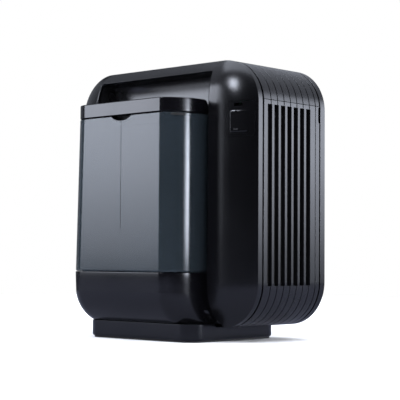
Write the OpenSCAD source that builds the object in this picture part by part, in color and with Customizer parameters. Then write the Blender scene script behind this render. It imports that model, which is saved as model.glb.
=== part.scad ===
// Cool mist humidifier: a rounded square evaporative body with a lift-out water tank.
// Frame: origin at the centre of the base on the floor, +Z up, the tank faces -Y,
// the air inlet grilles face +X and -X and the mist outlet faces +Y.

/* [Body] */
// Width of the body across the two side grilles
body_w = 295; // [285:1:305]
// Overall height from the floor to the top
total_h = 330; // [322:1:340]
// Height of the body's underside above the floor
body_z0 = 17; // [16:0.5:18]
// Radius of the body's corners, seen from the tank side
corner_r = 53; // [51:1:55]
// Depth of the straight band between the two domed faces
band_d = 125; // [122:1:128]
// How far each domed face rises from the band
dome_rise = 16; // [14:0.5:18]
// Width of the curved margin of each domed face
dome_run = 42; // [38:1:44]
// Wall thickness of the shells
wall = 3; // [2.5:0.1:3.5]

/* [Ribs] */
// Distance between rib grooves
rib_pitch = 12; // [12:0.1:12.5]
// Number of air slots in each side panel
slot_count = 7; // [5:1:7]
// Width of one air slot
slot_w = 7.7; // [5:0.1:8]
// Lower end of the air slots
slot_z0 = 66; // [60:1:80]
// Upper end of the air slots
slot_z1 = 276.6; // [240:0.2:277]
// Width of a rib groove
groove_w = 1.6; // [1.2:0.1:2]
// Depth of a rib groove
groove_depth = 2; // [1:0.1:2.5]

/* [Water tank] */
// Width of the tank
tank_w = 175; // [165:1:177]
// Sideways place of the tank's middle
tank_x = -13.5; // [-15:0.5:-12]
// Distance from the body's middle plane to the tank's front
tank_front = 127; // [120:1:130]
// Height of the tank's floor
tank_z0 = 81.4; // [81:0.1:82]
// Height of the seam between the tank and its lid
lid_z0 = 268.2; // [260:0.2:270]
// Height of the lid's top
lid_z1 = 284.7; // [280:0.1:285]
// Radius of the tank's vertical corners
tank_r = 23; // [18:1:26]
// Wall thickness of the tank
tank_wall = 2.5; // [2:0.1:3]

/* [Base] */
// Width of the pedestal
pedestal_w = 179; // [170:1:182]
// Depth of the pedestal
pedestal_d = 156.5; // [150:0.5:160]
// Height of the rubber foot ring
foot_h = 2; // [1.5:0.1:2.5]

/* [Fan] */
// Radius of the fan blades
fan_r = 80; // [70:1:81]
// Number of fan blades
blade_count = 7; // [5:1:9]
// Height of the fan's axis
fan_z = 155; // [152:1:158]

/* [Hidden] */
$fn = 96;
eps = 0.05;
gap = 0.6;                        // visible seam between pieces that come apart

// body
half_d = band_d / 2;
face_y = half_d + dome_rise;
body_h = total_h - body_z0;
mid_z = body_z0 + body_h / 2;
flat_x = body_w / 2 - corner_r;
skin = 6;                         // thickness of the ribbed skin over the chassis
chassis_t = 4;
liner_t = 2.5;
rear_rim_y = -55.2;               // where the rear shell's rim ends
front_rim_y = 53.8;               // where the front shell's rim starts
band_y0 = -53.2;
band_y1 = 51.6;
groove_y0 = -40;                  // first rib groove
groove_count = 8;
slot_shift = 1.7;                 // how far a slot reaches past its groove
seam_z = 281.7;                   // seam above each side panel
chassis_y = 60;
window_y0 = -44;                  // air windows in the chassis, behind the side panels
window_y1 = 46;
window_z0 = 62;
window_z1 = 280;
tab_y0 = 38;                      // spring tabs of the side panels
tab_y1 = 42;
tab_t = 5;
pull_z = 265;                     // finger notches of the side panels
pull_w = 5;
pull_l = 30;

// tank bay
bay_x0 = -106.5;
bay_x1 = 82;
bay_top = 317.5;
bay_back = -45;
bay_inset = 0.3;                  // clearance of the housing inside the bay
bay_base_h = 60;                  // height of the chassis opening for the housing
scoop_h = 22;                     // the bay's roof is scooped for fingers
scoop_d = 10;

// tank
tank_back = 48;
tank_d = tank_front - tank_back;
tank_y = -(tank_front + tank_back) / 2;
cap_x = -12;                      // the cap, the valve pin and the lid's notch share this line
cap_y = -74;
notch_w = 39;
notch_h = 7.5;
notch_r = (pow(notch_w / 2, 2) + pow(notch_h, 2)) / (2 * notch_h);
notch_depth = 9;
skirt_h = 8;                      // depth of the lid's skirt inside the tank
skirt_gap = 1.6;                  // room for the seal between skirt and wall
skirt_t = 2.4;
notch_room = 6;

// base
deck_z = 81;
housing_z0 = 21;
bulge_r = 44.1;
bulge_top = 60;
pedestal_x = -6.5;
pedestal_front = -103.5;
pedestal_y = pedestal_front + pedestal_d / 2;
pedestal_r = 20;
tray_z0 = 28;
tray_z1 = 68.5;
tray_x = 118;
tray_y0 = -41;
tray_y1 = 51;
tray_front = -98;
tray_wall = 2.5;
tray_inset = 6;                   // the tray's front part inside the tank's width

// cap and valve
neck_r = 16.5;
neck_bore = 14;
neck_z0 = 68;
cap_r = 20;
cap_z0 = 63;
cap_z1 = 80.6;
stem_r = 2;
well_gap = 2;                     // clearance round the cap in the housing's well
well_run = 19;                    // the well runs forwards so the tilted tank lifts clear
fit = 0.06;                       // radial clearance of a running fit
cap_floor = 3;
cap_grip_r = 2;
grip_out = 1.2;                   // how far a finger grip's centre lies outside its rim
cage_r = 12.5;
cage_wall = 2;
cage_z1 = 80;
plunger_z0 = 58.5;
plunger_h = 19;
washer_r = 8.5;
washer_t = 1.4;
spring_z0 = 69.8;
spring_z1 = 77.9;
float_x = -68;
float_y = -82;
float_z0 = 36.3;
float_r = 12;
float_h = 12;
float_pin_r = 2.5;
float_pin_h = 42;
valve_pin_r = 3;
valve_pin_z1 = 57.5;

// filters
filter_x0 = 92;
filter_x1 = 110;
filter_y0 = -34.5;
filter_y1 = 44.5;
filter_z0 = 36;
filter_z1 = 274;
frame_lip = 4;                    // how far the filter frame laps over the wick
rest_x = 98;                      // rests that carry the filter frames
rest_w = 8;
rest_t = 6;
sensor_x0 = 116;
sensor_x1 = 141;
sensor_z0 = 244;
sensor_z1 = 278;
board_t = 1.6;

// fan
hub_r = 24;
shaft_r = 2.5;
shroud_r = 83;
shroud_t = 2.5;
mount_t = 3;
mount_arm_w = 8;
motor_screw_x = 18;
blade_chord = 26;
blade_t = 2;
blade_pitch = 38;
shroud_y0 = 18;
rotor_y0 = 26;
rotor_y1 = 48;
motor_y0 = -12;
motor_y1 = 22;
motor_r = 28;

// front face
outlet_w = 180;
outlet_h = 172;
outlet_r = 26;
grille_t = 6;
trim_gap = 0.3;                   // clearance round the grille and the control panel
panel_z = 266;
panel_w = 150;
panel_h = 30;
panel_r = 8;
panel_t = 6;
board_drop = 16;                  // depth of the control board behind the face
part_drop = 14.4;                 // depth of the parts that stand on it
knob_x = 48;
knob_r = 12.5;
knob_h = 13;
knob_bore = 3;
knob_chamfer = 2;
button_x = 0;
button_r = 7;
button_gap = 0.4;
lens_x = -30;
lens_r = 2.5;

// small parts
cover_x0 = 111;
cover_x1 = 144;
cover_z0 = 239;
cover_z1 = 278.5;
cover_r = 3;
cover_gap = 0.4;
nail_slot_x = 15;                 // nail slot under the cover's top edge
nail_slot_z = 3.6;
nail_slot_w = 10;
nail_slot_h = 3.4;
inlet_x = -125;
inlet_z = 62;
inlet_w = 16.4;
inlet_h = 12.4;
inlet_d = 20;
socket_r = 3.8;                   // ends of the figure-eight socket
socket_x = 3.4;
socket_d = 15;
pin_r = 1.18;
pin_x = 4.3;
pin_l = 12;
screw_r = 1.5;
screw_head_r = 3;
head_gap = 0.2;
case_screw_y = 57.5;
case_screw_z = 2.5;               // depth of the screw heads' seats
base_plate_t = 2.4;
head_h = 1.6;
leg_x = 97;                       // seam between the side panels and the bottom band

// the whole part is shifted so that its bounding box is centred on the origin
shift_y = (tank_front - (face_y + knob_h)) / 2;

module in_frame() translate([0, shift_y, 0]) children();

// ---- shared shapes ----

module rounded_rect(w, h, r) {
    square([w - 2 * r, h], center = true);
    square([w, h - 2 * r], center = true);
    for (sx = [-1, 1], sy = [-1, 1])
        translate([sx * (w / 2 - r), sy * (h / 2 - r)]) circle(r);
}

// body outline, inset by a distance
module outline(inset) rounded_rect(body_w - 2 * inset, body_h - 2 * inset, corner_r - inset);

// the outline as a plate between two depths
module body_plate(inset, y0, y1)
    translate([0, y1, mid_z]) rotate([90, 0, 0]) linear_extrude(y1 - y0) outline(inset);

module body_tube(outer, inner, y0, y1)
    translate([0, y1, mid_z]) rotate([90, 0, 0]) linear_extrude(y1 - y0) difference() {
        outline(outer);
        outline(inner);
    }

module box(x0, x1, y0, y1, z0, z1) translate([x0, y0, z0]) cube([x1 - x0, y1 - y0, z1 - z0]);

// one side of the dome's section: flat for x below 0, then an arc down to the crease
module dome_edge(reach) {
    arc_r = (pow(dome_run, 2) + pow(dome_rise, 2)) / (2 * dome_rise);
    intersection() {
        translate([-reach, 0]) square([reach + dome_run, dome_rise]);
        union() {
            translate([-reach, 0]) square([reach, dome_rise]);
            translate([0, dome_rise - arc_r]) circle(arc_r, $fn = 360);
        }
    }
}

module dome_section(w) for (side = [0, 1]) mirror([side, 0])
    translate([w / 2 - dome_run, 0]) dome_edge(w / 2 - dome_run);

// a pillow on the body's outline, standing on the plane z = 0
module dome(inset) {
    w = body_w - 2 * inset;
    h = body_h - 2 * inset;
    r = corner_r - inset;
    translate([0, h / 2 - r, 0]) rotate([90, 0, 0]) linear_extrude(h - 2 * r) dome_section(w);
    translate([-(w / 2 - r), 0, 0]) rotate([90, 0, 90]) linear_extrude(w - 2 * r) dome_section(h);
    for (sx = [0, 1], sy = [0, 1]) mirror([sx, 0, 0]) mirror([0, sy, 0])
        translate([w / 2 - r, h / 2 - r, 0]) rotate_extrude(angle = 90)
            translate([r - dome_run, 0]) dome_edge(r - dome_run);
}

// hollow domed face with its rim, on the -Y side
module face_skin(rim_y) difference() {
    union() {
        translate([0, -half_d, mid_z]) rotate([90, 0, 0]) dome(0);
        body_plate(0, -half_d, rim_y);
    }
    translate([0, -half_d + wall, mid_z]) rotate([90, 0, 0]) dome(wall);
    body_plate(skin, -half_d + wall - eps, rim_y + 1);
}

// ribbed skin all round the band
module ribbed_ring() difference() {
    union() {
        body_plate(groove_depth, band_y0, band_y1);
        for (k = [0 : groove_count]) {
            rib_y0 = k == 0 ? band_y0 : groove_y0 + (k - 1) * rib_pitch + groove_w / 2;
            rib_y1 = k == groove_count ? band_y1 : groove_y0 + k * rib_pitch - groove_w / 2;
            body_plate(0, rib_y0, rib_y1);
        }
    }
    body_plate(skin, band_y0 - 1, band_y1 + 1);
}

// a rounded upright prism given by its plan
module plan_prism(x, y, w, d, r, z0, z1)
    translate([x, y, z0]) linear_extrude(z1 - z0) rounded_rect(w, d, r);

// a cross-head screw pointing up, with its head below the plane z = 0
module screw(length) {
    cylinder(r = screw_r, h = length);
    difference() {
        translate([0, 0, -head_h]) cylinder(r = screw_head_r, h = head_h);
        for (a = [0, 90]) rotate(a) translate([-2, -0.4, -head_h - 1]) cube([4, 0.8, 1.8]);
    }
}

// the hole that a screw sits in, with room for its head
module screw_hole(length) {
    translate([0, 0, -eps]) cylinder(r = screw_r, h = length + eps);
    translate([0, 0, -20]) cylinder(r = screw_head_r + head_gap, h = 20);
}

module at_case_screws() for (x = [-80, -30, 30, 80])
    translate([x, case_screw_y, body_z0 + case_screw_z]) children();

module at_base_screws() for (sx = [-1, 1], sy = [-1, 1])
    translate([pedestal_x + sx * 70, pedestal_y + sy * 60, foot_h + head_h]) children();

// ---- outer shells ----

module access_region(grow) {
    w = cover_x1 - cover_x0 + 2 * grow;
    h = cover_z1 - cover_z0 + 2 * grow;
    translate([(cover_x0 + cover_x1) / 2, -half_d + 8, (cover_z0 + cover_z1) / 2])
        rotate([90, 0, 0]) linear_extrude(dome_rise + 20) rounded_rect(w, h, cover_r + grow);
}

module rear_shell() in_frame() color("#17181a") difference() {
    face_skin(rear_rim_y);
    box(bay_x0, bay_x1, -face_y - 1, -half_d + wall, 0, bay_top);
    box(bay_x0, bay_x1, -half_d, rear_rim_y + 1, 0, bay_top);
    access_region(cover_gap);
    translate([inlet_x, -face_y, inlet_z])
        cube([inlet_w + gap, 60, inlet_h + gap], center = true);
}

module access_cover() in_frame() color("#1a1b1d") difference() {
    intersection() {
        face_skin(rear_rim_y);
        access_region(0);
    }
    translate([cover_x0 + nail_slot_x, -half_d, cover_z1 - nail_slot_z]) rotate([90, 0, 0])
        linear_extrude(dome_rise + 20) rounded_rect(nail_slot_w, nail_slot_h, 0.8);
    body_plate(-1, -half_d + 0.5, 0);
}

module front_shell() in_frame() color("#17181a") difference() {
    mirror([0, 1, 0]) face_skin(-front_rim_y);
    translate([0, face_y + 1, fan_z]) rotate([90, 0, 0])
        linear_extrude(wall * 3) rounded_rect(outlet_w, outlet_h, outlet_r);
    translate([0, face_y + 1, panel_z]) rotate([90, 0, 0])
        linear_extrude(wall * 3) rounded_rect(panel_w, panel_h, panel_r);
    at_case_screws() screw_hole(20);
}

module chassis_ring() in_frame() color("#3a3c40") difference() {
    body_tube(skin, skin + chassis_t, -chassis_y, chassis_y);
    for (side = [0, 1]) mirror([side, 0, 0])
        box(flat_x, body_w, window_y0, window_y1, window_z0, window_z1);
    // the tank housing passes through the lower rear edge
    box(bay_x0, bay_x1, -chassis_y - 1, -half_d + 8, 0, bay_base_h);
    at_case_screws() screw_hole(20);
}

module top_band() in_frame() color("#1c1d1f") intersection() {
    ribbed_ring();
    box(-body_w, body_w, -half_d, half_d, seam_z + gap / 2, total_h + 1);
}

module bottom_band() in_frame() color("#1c1d1f") intersection() {
    ribbed_ring();
    box(-leg_x + gap / 2, leg_x - gap / 2, -half_d, half_d, 0, body_z0 + skin);
}

module side_panel() {
    tab_x = body_w / 2 - skin - chassis_t - 2;
    difference() {
        intersection() {
            ribbed_ring();
            box(leg_x + gap / 2, body_w, -half_d, half_d, 0, seam_z - gap / 2);
        }
        // clearance over the chassis
        body_plate(skin - gap, band_y0 - 1, band_y1 + 1);
        for (k = [0 : slot_count - 1])
            box(flat_x, body_w, groove_y0 + k * rib_pitch + slot_shift - slot_w,
                groove_y0 + k * rib_pitch + slot_shift, slot_z0, slot_z1);
        // finger notch beside the front shell
        translate([body_w / 2, band_y1, pull_z]) rotate([90, 0, 90])
            linear_extrude(20, center = true) rounded_rect(pull_w, pull_l, pull_w / 2 - eps);
    }
    // spring tabs that reach into the chassis window
    for (z = [window_z0 + 1.5, window_z1 - 1.5 - tab_t])
        box(tab_x, body_w / 2 - skin + gap + 1, tab_y0, tab_y1, z, z + tab_t);
}

module side_panel_right() in_frame() color("#1c1d1f") side_panel();

module side_panel_left() in_frame() color("#1c1d1f") mirror([1, 0, 0]) side_panel();

// ---- tank bay and base ----

module tank_bay() in_frame() color("#141516") difference() {
    intersection() {
        box(bay_x0 - liner_t, bay_x1 + liner_t, -face_y, bay_back + wall,
            deck_z, bay_top + liner_t);
        union() {
            translate([0, -half_d + wall, mid_z]) rotate([90, 0, 0]) dome(wall);
            body_plate(skin + chassis_t, -half_d + wall, 0);
        }
    }
    // the space for the tank, with a scooped back above it
    box(bay_x0, bay_x1, -face_y, bay_back - scoop_d, 0, bay_top);
    box(bay_x0, bay_x1, -face_y, bay_back, 0, bay_top - scoop_h);
    translate([bay_x0, bay_back - scoop_d, bay_top - scoop_h]) rotate([90, 0, 90])
        linear_extrude(bay_x1 - bay_x0) scale([scoop_d, scoop_h]) circle(1);
}

module bulge_outer() intersection() {
    plan_prism(tank_x, tank_y, tank_w, tank_d, tank_r, housing_z0, deck_z);
    translate([-body_w, 0, 0]) rotate([90, 0, 90]) linear_extrude(2 * body_w) {
        translate([-tank_front, bulge_top]) square([tank_front, deck_z]);
        translate([-tank_front + bulge_r, 0]) square([tank_front, deck_z]);
        translate([-tank_front + bulge_r, bulge_top]) circle(bulge_r, $fn = 360);
    }
}

module bulge_inner() intersection() {
    plan_prism(tank_x, tank_y, tank_w - 2 * wall, tank_d - 2 * wall, tank_r - wall,
               0, deck_z - wall);
    translate([-body_w, 0, 0]) rotate([90, 0, 90]) linear_extrude(2 * body_w) {
        translate([-tank_front + wall, bulge_top]) square([tank_front, deck_z]);
        translate([-tank_front + bulge_r, -1]) square([tank_front, deck_z]);
        translate([-tank_front + bulge_r, bulge_top]) circle(bulge_r - wall, $fn = 360);
    }
}

module reservoir_housing() in_frame() color("#1a1b1d") difference() {
    union() {
        bulge_outer();
        box(bay_x0 + bay_inset, bay_x1 - bay_inset, -face_y, bay_back, housing_z0, deck_z);
    }
    bulge_inner();
    box(bay_x0 + wall, bay_x1 - wall, -face_y + wall, bay_back + 1, 0, deck_z - wall);
    // well for the tank's cap, long enough for the slanted way out
    for (y = [cap_y, cap_y - well_run]) translate([cap_x, y, deck_z - 10])
        cylinder(r = cap_r + well_gap, h = 20);
    box(cap_x - cap_r - well_gap, cap_x + cap_r + well_gap, cap_y - well_run, cap_y,
        deck_z - 10, deck_z + 10);
    // stays clear of the chassis and the shell's corners
    body_tube(-20, skin + chassis_t, -half_d, 0);
}

module pedestal_solid(inset, z0, z1)
    plan_prism(pedestal_x, pedestal_y, pedestal_w - 2 * inset, pedestal_d - 2 * inset,
               pedestal_r - inset, z0, z1);

module pedestal() in_frame() color("#1b1c1e") difference() {
    union() {
        pedestal_solid(0, foot_h, body_z0);
        intersection() {
            pedestal_solid(0, foot_h, housing_z0);
            box(-body_w, bay_x1 - 0.5, -tank_front, -half_d - 0.5, 0, housing_z0);
        }
    }
    difference() {
        pedestal_solid(wall, 0, body_z0 - wall);
        at_base_screws() translate([0, 0, base_plate_t - head_h]) cylinder(r = 4, h = 20);
    }
    at_base_screws() screw_hole(8);
}

module base_plate() in_frame() color("#2a2b2d") difference() {
    pedestal_solid(wall + 0.2, foot_h, foot_h + base_plate_t);
    at_base_screws() screw_hole(8);
}

module base_screws() in_frame() color("silver") at_base_screws() screw(8);

module case_screws() in_frame() color("silver") at_case_screws() screw(7);

module foot_ring() in_frame() color("#0c0c0c") difference() {
    pedestal_solid(2.5, 0, foot_h);
    pedestal_solid(9, -1, foot_h + 1);
}

module tray_part(x0, x1, y0, y1, z0, z1, inset) intersection() {
    box(x0, x1, y0, y1, z0, z1);
    body_plate(inset, -tank_front, half_d);
}

// the tray's T-shaped space, shrunk on every side
module tray_block(less, z0, z1) {
    front_x = tank_w / 2 - tray_inset;
    inset = skin + chassis_t + 0.5 + less;
    tray_part(-tray_x + less, tray_x - less, tray_y0 + less, tray_y1 - less, z0, z1, inset);
    tray_part(tank_x - front_x + less, tank_x + front_x - less, tray_front + less,
              tray_y1 - less, z0, z1, inset);
}

module water_tray() in_frame() color("#d8dadc") {
    difference() {
        tray_block(0, tray_z0, tray_z1);
        tray_block(tray_wall, tray_z0 + tray_wall, tray_z1 + 1);
    }
    floor_z = tray_z0 + 1;
    // pin that lifts the tank's valve
    translate([cap_x, cap_y, floor_z]) cylinder(r = valve_pin_r, h = valve_pin_z1 - floor_z);
    // guide of the float and its stop
    translate([float_x, float_y, floor_z]) cylinder(r = float_pin_r, h = float_pin_h);
    translate([float_x, float_y, floor_z])
        cylinder(r = 2 * float_pin_r, h = float_z0 - gap / 2 - floor_z);
    // rests for the two filter frames
    for (side = [-1, 1], y = [filter_y0 + rest_t, filter_y1 - 2 * rest_t])
        translate([side * rest_x - rest_w / 2, y, floor_z])
            cube([rest_w, rest_t, filter_z0 - floor_z]);
}

module float() in_frame() color("#e8e4d8") translate([float_x, float_y, float_z0]) difference() {
    union() {
        cylinder(r = float_r, h = float_h);
        translate([0, 0, float_h]) cylinder(r1 = float_r, r2 = float_r - 3, h = 3);
    }
    translate([0, 0, -1]) cylinder(r = float_pin_r + fit, h = 20);
}

// ---- filters ----

// the filter's block, grown on every side
module filter_block(grow_x, grow) box(filter_x0 - grow_x, filter_x1 + grow_x, filter_y0 - grow,
    filter_y1 + grow, filter_z0 + wall - grow, filter_z1 - wall + grow);

module filter_frame() difference() {
    filter_block(wall, wall);
    filter_block(0, 0);
    filter_block(wall + 1, -frame_lip);
}

module wick_filter() filter_block(0, 0);

module filter_frame_right() in_frame() color("#4a4c50") filter_frame();
module filter_frame_left() in_frame() color("#4a4c50") mirror([1, 0, 0]) filter_frame();
module wick_filter_right() in_frame() color("#c9b98a") wick_filter();
module wick_filter_left() in_frame() color("#c9b98a") mirror([1, 0, 0]) wick_filter();

module humidity_sensor() in_frame() color("#1f5a34") {
    box(sensor_x0, sensor_x1, -chassis_y - board_t, -chassis_y, sensor_z0, sensor_z1);
    // the sensing element on its board
    box(sensor_x0 + 6, sensor_x0 + 16, -chassis_y - 4, -chassis_y - board_t,
        sensor_z0 + 10, sensor_z0 + 22);
}

// ---- tank ----

module tank_plan(inset, z0, z1)
    plan_prism(tank_x, tank_y, tank_w - 2 * inset, tank_d - 2 * inset, tank_r - inset, z0, z1);

module finger_notch(r_less)
    translate([cap_x, -tank_front - 1, lid_z0 + notch_r - notch_h]) rotate([-90, 0, 0])
        cylinder(r = notch_r - r_less, h = notch_depth + 1 + r_less);

module water_tank() in_frame() color([0.32, 0.34, 0.35, 0.7]) {
    difference() {
        tank_plan(0, tank_z0, lid_z0 - 0.3);
        difference() {
            tank_plan(tank_wall, tank_z0 + tank_wall, lid_z0 + 1);
            finger_notch(-tank_wall);
        }
        finger_notch(0);
        translate([cap_x, cap_y, tank_z0 - 1]) cylinder(r = neck_bore, h = 10);
    }
    translate([cap_x, cap_y, neck_z0]) difference() {
        cylinder(r = neck_r, h = tank_z0 - neck_z0 + 1);
        translate([0, 0, -1]) cylinder(r = neck_bore, h = 20);
    }
}

// the skirt and its seal stay clear of the notch's pocket
module notch_clearance()
    translate([cap_x - notch_w / 2 - notch_room, -tank_front - 1, lid_z0 - skirt_h - 2])
        cube([notch_w + 2 * notch_room, notch_depth + notch_room, skirt_h + 2]);

module tank_lid() in_frame() color("#202124") difference() {
    union() {
        tank_plan(0, lid_z0, lid_z1);
        tank_plan(tank_wall + skirt_gap, lid_z0 - skirt_h, lid_z0 + 1);
    }
    tank_plan(tank_wall + skirt_gap + skirt_t, lid_z0 - skirt_h - 1, lid_z1 - tank_wall);
    notch_clearance();
}

module lid_seal() in_frame() color("#0d0d0d") difference() {
    tank_plan(tank_wall + 0.4, lid_z0 - 5, lid_z0 - 2);
    tank_plan(tank_wall + skirt_gap, lid_z0 - 6, lid_z0);
    notch_clearance();
}

module at_cap() in_frame() translate([cap_x, cap_y, 0]) children();

module finger_grips(rim_r, r, z0) for (a = [0 : 30 : 330])
    rotate(a) translate([rim_r + grip_out, 0, z0 - 1]) cylinder(r = r, h = 30, $fn = 24);

module tank_cap() at_cap() color("#2b2d30") difference() {
    translate([0, 0, cap_z0]) cylinder(r = cap_r, h = cap_z1 - cap_z0);
    translate([0, 0, cap_z0 + cap_floor]) cylinder(r = neck_r + fit, h = 30);
    translate([0, 0, cap_z0 - 1]) cylinder(r = stem_r + fit, h = 10);
    // water holes round the stem
    for (a = [45 : 90 : 315]) rotate(a) translate([5.5, 0, cap_z0 - 1]) cylinder(r = 1.8, h = 10);
    finger_grips(cap_r, cap_grip_r, cap_z0);
}

module cap_seal() at_cap() color("#0d0d0d") translate([0, 0, cap_z0 + cap_floor]) difference() {
    cylinder(r = neck_r - 0.3, h = 1.6);
    translate([0, 0, -1]) cylinder(r = neck_bore - 0.5, h = 10);
}

module valve_cage() at_cap() color("#e0e0dc") difference() {
    translate([0, 0, cap_z0 + cap_floor]) cylinder(r = cage_r, h = cage_z1 - cap_z0 - cap_floor);
    translate([0, 0, cap_z0]) cylinder(r = cage_r - cage_wall, h = cage_z1 - cap_z0 - cage_wall);
    translate([0, 0, cage_z1 - 5]) cylinder(r = stem_r + fit, h = 10);
    // side windows for the water
    for (a = [0, 90]) rotate(a) translate([-20, -4, cap_z0 + 5]) cube([40, 8, 8]);
}

module valve_plunger() at_cap() color("#b8bcc0") {
    translate([0, 0, plunger_z0]) cylinder(r = stem_r, h = plunger_h);
    translate([0, 0, cap_z0 + cap_floor + 0.3 + washer_t]) cylinder(r = washer_r, h = 2);
}

module valve_washer() at_cap() color("#0d0d0d") translate([0, 0, cap_z0 + cap_floor + 0.3])
    difference() {
        cylinder(r = washer_r, h = washer_t);
        translate([0, 0, -1]) cylinder(r = stem_r, h = 5);
    }

// a compression spring swept as one closed tube
module coil(r, wire_r, z0, z1, turns, sides = 8, steps = 14) {
    n = turns * steps;
    ring_at = function(i)
        let (a = 360 * i / steps, z = z0 + wire_r + (z1 - z0 - 2 * wire_r) * i / n)
        [for (j = [0 : sides - 1])
            let (b = 360 * j / sides, rho = r + wire_r * cos(b))
            [rho * cos(a), rho * sin(a), z + wire_r * sin(b)]];
    points = [for (i = [0 : n]) each ring_at(i)];
    walls = [for (i = [0 : n - 1], j = [0 : sides - 1])
        let (k = (j + 1) % sides)
        [i * sides + j, (i + 1) * sides + j, (i + 1) * sides + k, i * sides + k]];
    start = [for (j = [0 : sides - 1]) j];
    end = [for (j = [sides - 1 : -1 : 0]) n * sides + j];
    polyhedron(points, concat(walls, [start, end]));
}

module valve_spring() at_cap() color("silver") coil(4.5, 0.5, spring_z0, spring_z1, 5);

// ---- fan ----

module at_fan(y) in_frame() translate([0, y, fan_z]) rotate([-90, 0, 0]) children();

module fan_shroud() at_fan(shroud_y0) color("#35373a") difference() {
    cylinder(r = shroud_r + shroud_t, h = face_y - grille_t - shroud_y0);
    translate([0, 0, -1]) cylinder(r = shroud_r, h = 80);
}

module at_motor_screws(z) for (a = [0, 120, 240]) rotate(a)
    translate([motor_screw_x, 0, z]) children();

module motor_mount() at_fan(motor_y1) color("#35373a") difference() {
    union() {
        cylinder(r = motor_r, h = mount_t);
        intersection() {
            for (a = [45 : 90 : 315]) rotate(a) translate([motor_r - 4, -mount_arm_w / 2, 0])
                cube([fan_r, mount_arm_w, mount_t]);
            cylinder(r = shroud_r, h = mount_t);
        }
    }
    translate([0, 0, -1]) cylinder(r = 6, h = 10);
    at_motor_screws(-1) cylinder(r = screw_r, h = 10);
}

module fan_motor() at_fan(motor_y0) color("#8c9196") difference() {
    cylinder(r = motor_r, h = motor_y1 - motor_y0);
    translate([0, 0, -1]) cylinder(r = shaft_r + fit, h = 60);
    at_motor_screws(motor_y1 - motor_y0 - 6) cylinder(r = screw_r, h = 10);
    // rolled groove round the can
    translate([0, 0, 16]) difference() {
        cylinder(r = motor_r + 1, h = 2);
        translate([0, 0, -1]) cylinder(r = motor_r - 1, h = 4);
    }
}

module motor_shaft() at_fan(motor_y0 - 4) color("silver")
    cylinder(r = shaft_r, h = rotor_y1 - motor_y0 + 2);

module fan_rotor() at_fan(rotor_y0) color("#56585c") {
    h = rotor_y1 - rotor_y0;
    difference() {
        cylinder(r = hub_r, h = h);
        translate([0, 0, -1]) cylinder(r = shaft_r, h = h + 2);
        translate([0, 0, -1]) difference() {
            cylinder(r = hub_r - 3, h = h - 3);
            cylinder(r = 7, h = h);
        }
    }
    intersection() {
        for (k = [0 : blade_count - 1]) rotate(k * 360 / blade_count)
            translate([0, 0, h / 2]) rotate([blade_pitch, 0, 0])
                translate([hub_r - 2, -blade_chord / 2, -blade_t / 2])
                    cube([fan_r - hub_r + 2, blade_chord, blade_t]);
        difference() {
            cylinder(r = fan_r, h = h);
            translate([0, 0, -1]) cylinder(r = hub_r - 0.5, h = h + 2);
        }
    }
}

module motor_screws() at_fan(motor_y1 + mount_t) color("silver")
    at_motor_screws(0) mirror([0, 0, 1]) screw(9);

// ---- front face ----

module outlet_grille() in_frame() color("#1c1d1f")
    translate([0, face_y, fan_z]) rotate([90, 0, 0]) difference() {
        linear_extrude(grille_t)
            rounded_rect(outlet_w - 2 * trim_gap, outlet_h - 2 * trim_gap, outlet_r - trim_gap);
        bars = floor((outlet_w - 30) / (2 * rib_pitch));
        for (k = [-bars : bars]) translate([k * rib_pitch, 0, -1]) linear_extrude(grille_t + 2)
            rounded_rect(slot_w, outlet_h - 16, slot_w / 2 - eps);
    }

// a place on the control panel's face, with +Z pointing out of it
module at_panel(x) in_frame() translate([x, face_y, panel_z]) rotate([-90, 0, 0]) children();

module control_panel() at_panel(0) color("#101113") difference() {
    translate([0, 0, -panel_t]) linear_extrude(panel_t)
        rounded_rect(panel_w - 2 * trim_gap, panel_h - 2 * trim_gap, panel_r - trim_gap);
    translate([knob_x, 0, -10]) cylinder(r = knob_bore + 2, h = 20);
    translate([button_x, 0, -10]) cylinder(r = button_r + button_gap, h = 20);
    translate([lens_x, 0, -10]) cylinder(r = lens_r, h = 20);
}

module control_board() at_panel(0) color("#1f5a34") translate([0, 0, -board_drop])
    linear_extrude(board_t) rounded_rect(panel_w - 20, panel_h - 4, 2);

module speed_control() at_panel(knob_x) color("#8c9196") difference() {
    translate([0, 0, -part_drop]) cylinder(r = 8, h = 7);
    translate([0, 0, -part_drop + 1.4]) cylinder(r = knob_bore + fit, h = 20);
}

module knob_shaft() at_panel(knob_x) color("silver")
    translate([0, 0, -12]) cylinder(r = knob_bore, h = 20);

module speed_knob() at_panel(knob_x) color("#2b2d30") difference() {
    union() {
        translate([0, 0, 0.5]) cylinder(r = knob_r, h = 8.5);
        translate([0, 0, 9])
            cylinder(r1 = knob_r, r2 = knob_r - knob_chamfer, h = knob_h - 9);
    }
    translate([0, 0, -1]) cylinder(r = knob_bore, h = 9);
    finger_grips(knob_r, cap_grip_r, 0);
    // pointer line
    translate([-0.6, -knob_r + 1, knob_h - 0.8]) cube([1.2, 6, 2]);
}

module power_switch() at_panel(button_x) color("#2b2d30") {
    translate([-6, -6, -part_drop]) cube([12, 12, 5]);
    translate([0, 0, -part_drop + 5]) cylinder(r = 2, h = 1);
}

module power_button() at_panel(button_x) color("#3a3c40") difference() {
    union() {
        translate([0, 0, -5.4]) cylinder(r = button_r, h = 7);
        translate([0, 0, -7.4]) cylinder(r = 1.6, h = 3);
    }
    translate([0, 0, 21]) sphere(r = 20, $fn = 120);
}

module indicator_lens() at_panel(lens_x) color("#59c46a")
    translate([0, 0, -5]) cylinder(r = lens_r, h = 5.4);

// ---- mains inlet on the rear shell's hidden margin ----

module at_inlet() in_frame() translate([inlet_x, -half_d - 8, inlet_z]) children();

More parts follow.
